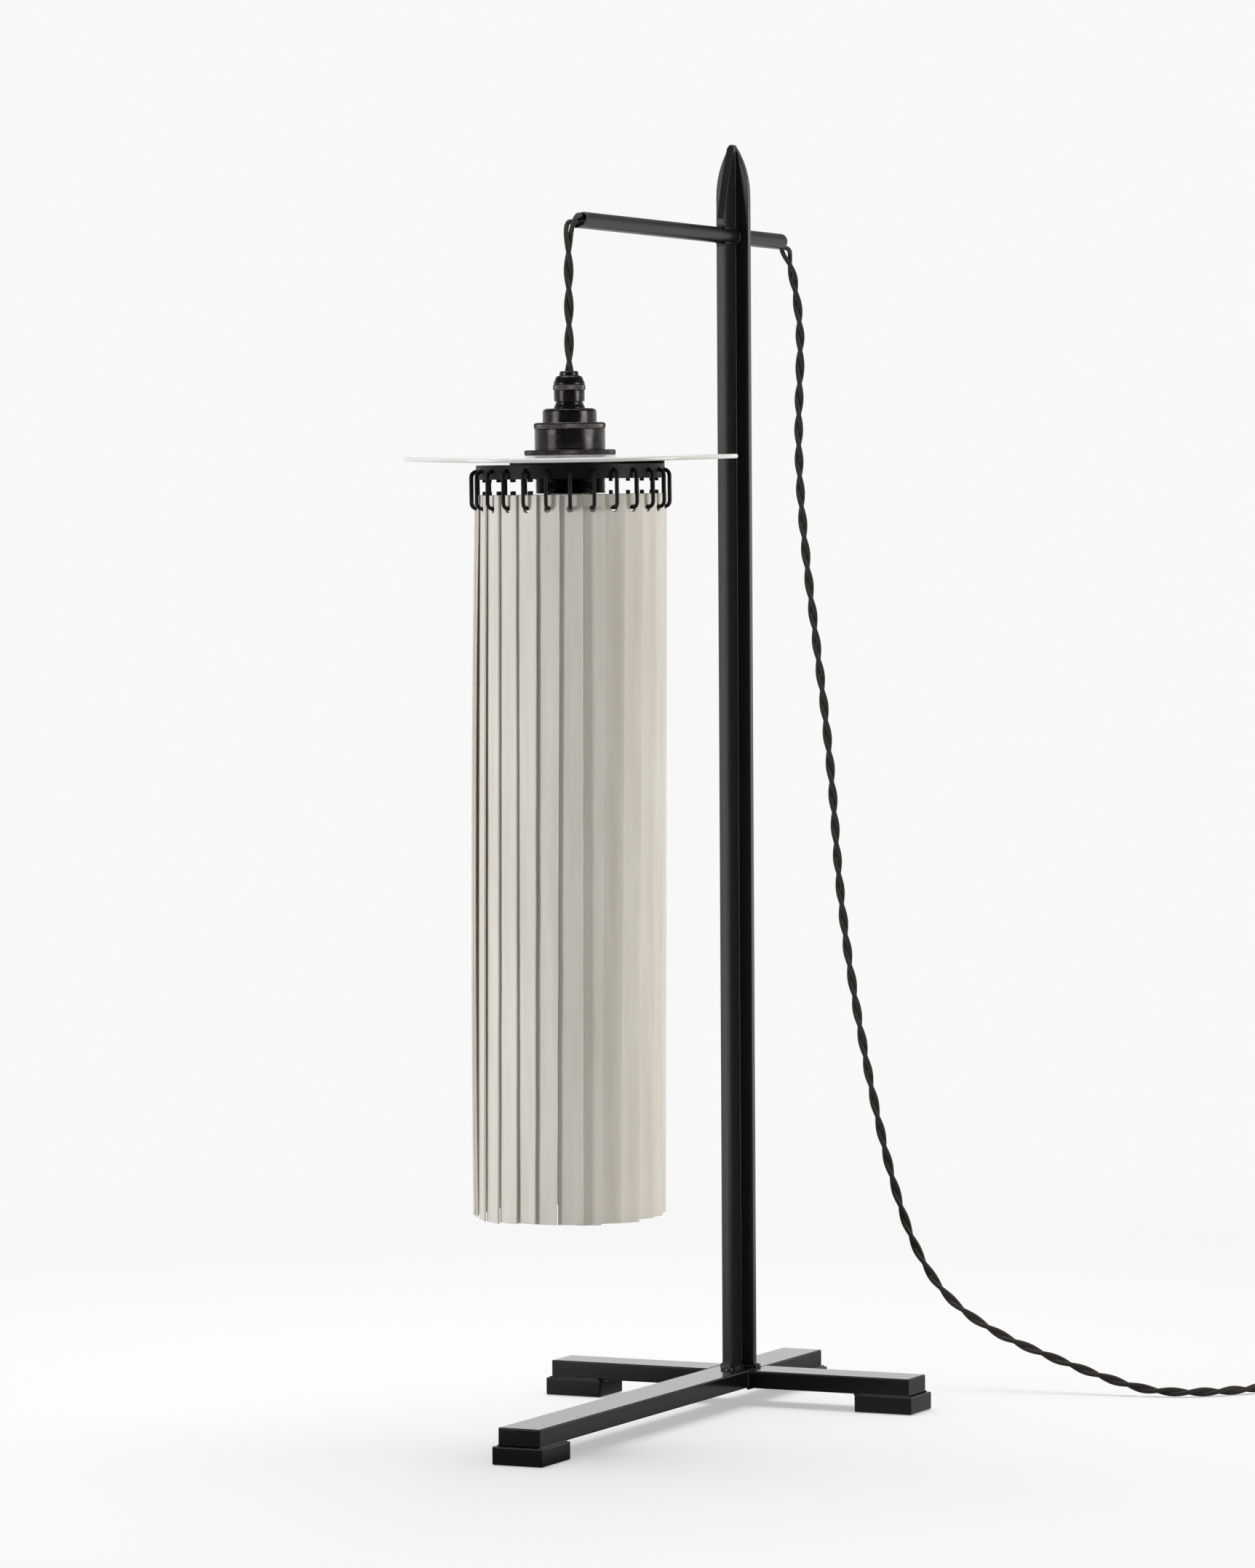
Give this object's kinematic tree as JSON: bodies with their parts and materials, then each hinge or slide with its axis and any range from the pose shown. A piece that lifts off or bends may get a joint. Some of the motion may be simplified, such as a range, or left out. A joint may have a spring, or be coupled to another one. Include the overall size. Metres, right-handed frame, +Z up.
{
  "type": "table lamp",
  "caption": "Table lamp: a steel cross base, T-bar post and tube arm carry a lampholder on a twisted cord, with a porcelain disc and overlapping porcelain strips on wire links.",
  "frame": {"origin": "on the floor, under the middle of the lamp without its free cord", "axes": "+Z up along the post, -Y along the arm towards the hanging shade, +X to the side where the cord runs off"},
  "size_m": [0.5373, 0.5762, 0.7215],
  "materials": {
    "black_steel": "satin",
    "tube_steel": "satin",
    "cord_fabric": "woven",
    "black_plastic": "matte",
    "tie_fabric": "woven",
    "nickel": "nickel plated",
    "dark_brass": "blackened",
    "insulator_ceramic": "matte",
    "disc_porcelain": "gloss",
    "strip_porcelain": "matte",
    "bulb_frosted_glass": "frosted"
  },
  "bodies": {
    "stand": {"base_long_bar": "black_steel", "base_left_bar": "black_steel", "base_right_bar": "black_steel", "feet": "black_steel", "post": "black_steel", "arm_tube": "tube_steel", "cord_in_arm": "cord_fabric", "cord_tail": "cord_fabric", "cord_coil": "cord_fabric", "cord_tie": "tie_fabric", "switch_base": "black_plastic", "switch_cover": "black_plastic", "plug_body": "black_plastic", "plug_pins": "nickel"},
    "rocker": {"switch_rocker": "black_plastic"},
    "bight": {"cord_bight": "cord_fabric"},
    "hanging_cord": {"pendant_cord": "cord_fabric"},
    "shade": {"gland_cap": "dark_brass", "gland_collar": "dark_brass", "gland_body": "dark_brass", "holder_cap": "dark_brass", "cap_ring": "dark_brass", "holder_skirt": "dark_brass", "shade_ring_upper": "dark_brass", "shade_ring_lower": "dark_brass", "holder_insulator": "insulator_ceramic", "screw_shell": "nickel", "centre_contact": "nickel", "porcelain_disc": "disc_porcelain", "carrier_band": "black_steel", "carrier_spider": "black_steel", "wire_links": "black_steel", "bulb_glass": "bulb_frosted_glass", "bulb_cap": "nickel"},
    "strip_01": {"strip_01": "strip_porcelain"},
    "strip_02": {"strip_02": "strip_porcelain"},
    "strip_03": {"strip_03": "strip_porcelain"},
    "strip_04": {"strip_04": "strip_porcelain"},
    "strip_05": {"strip_05": "strip_porcelain"},
    "strip_06": {"strip_06": "strip_porcelain"},
    "strip_07": {"strip_07": "strip_porcelain"},
    "strip_08": {"strip_08": "strip_porcelain"},
    "strip_09": {"strip_09": "strip_porcelain"},
    "strip_10": {"strip_10": "strip_porcelain"},
    "strip_11": {"strip_11": "strip_porcelain"},
    "strip_12": {"strip_12": "strip_porcelain"},
    "strip_13": {"strip_13": "strip_porcelain"},
    "strip_14": {"strip_14": "strip_porcelain"},
    "strip_15": {"strip_15": "strip_porcelain"},
    "strip_16": {"strip_16": "strip_porcelain"},
    "strip_17": {"strip_17": "strip_porcelain"},
    "strip_18": {"strip_18": "strip_porcelain"},
    "strip_19": {"strip_19": "strip_porcelain"},
    "strip_20": {"strip_20": "strip_porcelain"},
    "strip_21": {"strip_21": "strip_porcelain"},
    "strip_22": {"strip_22": "strip_porcelain"},
    "strip_23": {"strip_23": "strip_porcelain"},
    "strip_24": {"strip_24": "strip_porcelain"},
    "strip_25": {"strip_25": "strip_porcelain"},
    "strip_26": {"strip_26": "strip_porcelain"}
  },
  "joints": [
    {"name": "side_swing", "type": "hinge", "parent": "stand", "child": "bight", "pos_m": [0, -0.108, 0.6551], "axis": [0, 1, 0], "range_deg": [-8, 8]},
    {"name": "fore_swing", "type": "hinge", "parent": "bight", "child": "hanging_cord", "pos_m": [0, -0.108, 0.6451], "axis": [1, 0, 0], "range_deg": [-8, 8]},
    {"name": "shade_turn", "type": "hinge", "parent": "hanging_cord", "child": "shade", "pos_m": [0, -0.108, 0.54], "axis": [0, 0, 1], "range_deg": [-60, 60]},
    {"name": "rocker_press", "type": "hinge", "parent": "stand", "child": "rocker", "pos_m": [0.30737, 0.31471, 0.0108], "axis": [-0.7809, 0.6247, 0], "range_deg": [-12, 0]},
    {"name": "strip_01_flare", "type": "hinge", "parent": "shade", "child": "strip_01", "pos_m": [0.02177, -0.15323, 0.5128], "axis": [-0.9011, -0.4337, 0], "range_deg": [0, 5]},
    {"name": "strip_02_flare", "type": "hinge", "parent": "shade", "child": "strip_02", "pos_m": [0.03196, -0.14671, 0.5128], "axis": [-0.7711, -0.6367, 0], "range_deg": [0, 5]},
    {"name": "strip_03_flare", "type": "hinge", "parent": "shade", "child": "strip_03", "pos_m": [0.0403, -0.13794, 0.5128], "axis": [-0.5963, -0.8027, 0], "range_deg": [0, 5]},
    {"name": "strip_04_flare", "type": "hinge", "parent": "shade", "child": "strip_04", "pos_m": [0.04629, -0.12742, 0.5128], "axis": [-0.3869, -0.9221, 0], "range_deg": [0, 5]},
    {"name": "strip_05_flare", "type": "hinge", "parent": "shade", "child": "strip_05", "pos_m": [0.04959, -0.11578, 0.5128], "axis": [-0.155, -0.9879, 0], "range_deg": [0, 5]},
    {"name": "strip_06_flare", "type": "hinge", "parent": "shade", "child": "strip_06", "pos_m": [0.05001, -0.10368, 0.5128], "axis": [0.086, -0.9963, 0], "range_deg": [0, 5]},
    {"name": "strip_07_flare", "type": "hinge", "parent": "shade", "child": "strip_07", "pos_m": [0.04753, -0.09184, 0.5128], "axis": [0.3219, -0.9468, 0], "range_deg": [0, 5]},
    {"name": "strip_08_flare", "type": "hinge", "parent": "shade", "child": "strip_08", "pos_m": [0.04228, -0.08094, 0.5128], "axis": [0.5391, -0.8422, 0], "range_deg": [0, 5]},
    {"name": "strip_09_flare", "type": "hinge", "parent": "shade", "child": "strip_09", "pos_m": [0.03458, -0.07161, 0.5128], "axis": [0.725, -0.6887, 0], "range_deg": [0, 5]},
    {"name": "strip_10_flare", "type": "hinge", "parent": "shade", "child": "strip_10", "pos_m": [0.02486, -0.06439, 0.5128], "axis": [0.8688, -0.4952, 0], "range_deg": [0, 5]},
    {"name": "strip_11_flare", "type": "hinge", "parent": "shade", "child": "strip_11", "pos_m": [0.0137, -0.05971, 0.5128], "axis": [0.962, -0.2729, 0], "range_deg": [0, 5]},
    {"name": "strip_12_flare", "type": "hinge", "parent": "shade", "child": "strip_12", "pos_m": [0.00175, -0.05783, 0.5128], "axis": [0.9994, -0.0348, 0], "range_deg": [0, 5]},
    {"name": "strip_13_flare", "type": "hinge", "parent": "shade", "child": "strip_13", "pos_m": [-0.01031, -0.05887, 0.5128], "axis": [0.9787, 0.2054, 0], "range_deg": [0, 5]},
    {"name": "strip_14_flare", "type": "hinge", "parent": "shade", "child": "strip_14", "pos_m": [-0.02177, -0.06277, 0.5128], "axis": [0.9011, 0.4337, 0], "range_deg": [0, 5]},
    {"name": "strip_15_flare", "type": "hinge", "parent": "shade", "child": "strip_15", "pos_m": [-0.03196, -0.06929, 0.5128], "axis": [0.7711, 0.6367, 0], "range_deg": [0, 5]},
    {"name": "strip_16_flare", "type": "hinge", "parent": "shade", "child": "strip_16", "pos_m": [-0.0403, -0.07806, 0.5128], "axis": [0.5963, 0.8027, 0], "range_deg": [0, 5]},
    {"name": "strip_17_flare", "type": "hinge", "parent": "shade", "child": "strip_17", "pos_m": [-0.04629, -0.08858, 0.5128], "axis": [0.3869, 0.9221, 0], "range_deg": [0, 5]},
    {"name": "strip_18_flare", "type": "hinge", "parent": "shade", "child": "strip_18", "pos_m": [-0.04959, -0.10022, 0.5128], "axis": [0.155, 0.9879, 0], "range_deg": [0, 5]},
    {"name": "strip_19_flare", "type": "hinge", "parent": "shade", "child": "strip_19", "pos_m": [-0.05001, -0.11231, 0.5128], "axis": [-0.086, 0.9963, 0], "range_deg": [0, 5]},
    {"name": "strip_20_flare", "type": "hinge", "parent": "shade", "child": "strip_20", "pos_m": [-0.04753, -0.12416, 0.5128], "axis": [-0.3219, 0.9468, 0], "range_deg": [0, 5]},
    {"name": "strip_21_flare", "type": "hinge", "parent": "shade", "child": "strip_21", "pos_m": [-0.04228, -0.13506, 0.5128], "axis": [-0.5391, 0.8422, 0], "range_deg": [0, 5]},
    {"name": "strip_22_flare", "type": "hinge", "parent": "shade", "child": "strip_22", "pos_m": [-0.03458, -0.14439, 0.5128], "axis": [-0.725, 0.6887, 0], "range_deg": [0, 5]},
    {"name": "strip_23_flare", "type": "hinge", "parent": "shade", "child": "strip_23", "pos_m": [-0.02486, -0.15161, 0.5128], "axis": [-0.8688, 0.4952, 0], "range_deg": [0, 5]},
    {"name": "strip_24_flare", "type": "hinge", "parent": "shade", "child": "strip_24", "pos_m": [-0.0137, -0.15629, 0.5128], "axis": [-0.962, 0.2729, 0], "range_deg": [0, 5]},
    {"name": "strip_25_flare", "type": "hinge", "parent": "shade", "child": "strip_25", "pos_m": [-0.00175, -0.15817, 0.5128], "axis": [-0.9994, 0.0348, 0], "range_deg": [0, 5]},
    {"name": "strip_26_flare", "type": "hinge", "parent": "shade", "child": "strip_26", "pos_m": [0.01031, -0.15713, 0.5128], "axis": [-0.9787, -0.2054, 0], "range_deg": [0, 5]}
  ],
  "couplings": [
    {"joint": "strip_02_flare", "follows": "strip_01_flare", "ratio": 1},
    {"joint": "strip_03_flare", "follows": "strip_01_flare", "ratio": 1},
    {"joint": "strip_04_flare", "follows": "strip_01_flare", "ratio": 1},
    {"joint": "strip_05_flare", "follows": "strip_01_flare", "ratio": 1},
    {"joint": "strip_06_flare", "follows": "strip_01_flare", "ratio": 1},
    {"joint": "strip_07_flare", "follows": "strip_01_flare", "ratio": 1},
    {"joint": "strip_08_flare", "follows": "strip_01_flare", "ratio": 1},
    {"joint": "strip_09_flare", "follows": "strip_01_flare", "ratio": 1},
    {"joint": "strip_10_flare", "follows": "strip_01_flare", "ratio": 1},
    {"joint": "strip_11_flare", "follows": "strip_01_flare", "ratio": 1},
    {"joint": "strip_12_flare", "follows": "strip_01_flare", "ratio": 1},
    {"joint": "strip_13_flare", "follows": "strip_01_flare", "ratio": 1},
    {"joint": "strip_14_flare", "follows": "strip_01_flare", "ratio": 1},
    {"joint": "strip_15_flare", "follows": "strip_01_flare", "ratio": 1},
    {"joint": "strip_16_flare", "follows": "strip_01_flare", "ratio": 1},
    {"joint": "strip_17_flare", "follows": "strip_01_flare", "ratio": 1},
    {"joint": "strip_18_flare", "follows": "strip_01_flare", "ratio": 1},
    {"joint": "strip_19_flare", "follows": "strip_01_flare", "ratio": 1},
    {"joint": "strip_20_flare", "follows": "strip_01_flare", "ratio": 1},
    {"joint": "strip_21_flare", "follows": "strip_01_flare", "ratio": 1},
    {"joint": "strip_22_flare", "follows": "strip_01_flare", "ratio": 1},
    {"joint": "strip_23_flare", "follows": "strip_01_flare", "ratio": 1},
    {"joint": "strip_24_flare", "follows": "strip_01_flare", "ratio": 1},
    {"joint": "strip_25_flare", "follows": "strip_01_flare", "ratio": 1},
    {"joint": "strip_26_flare", "follows": "strip_01_flare", "ratio": 1}
  ]
}
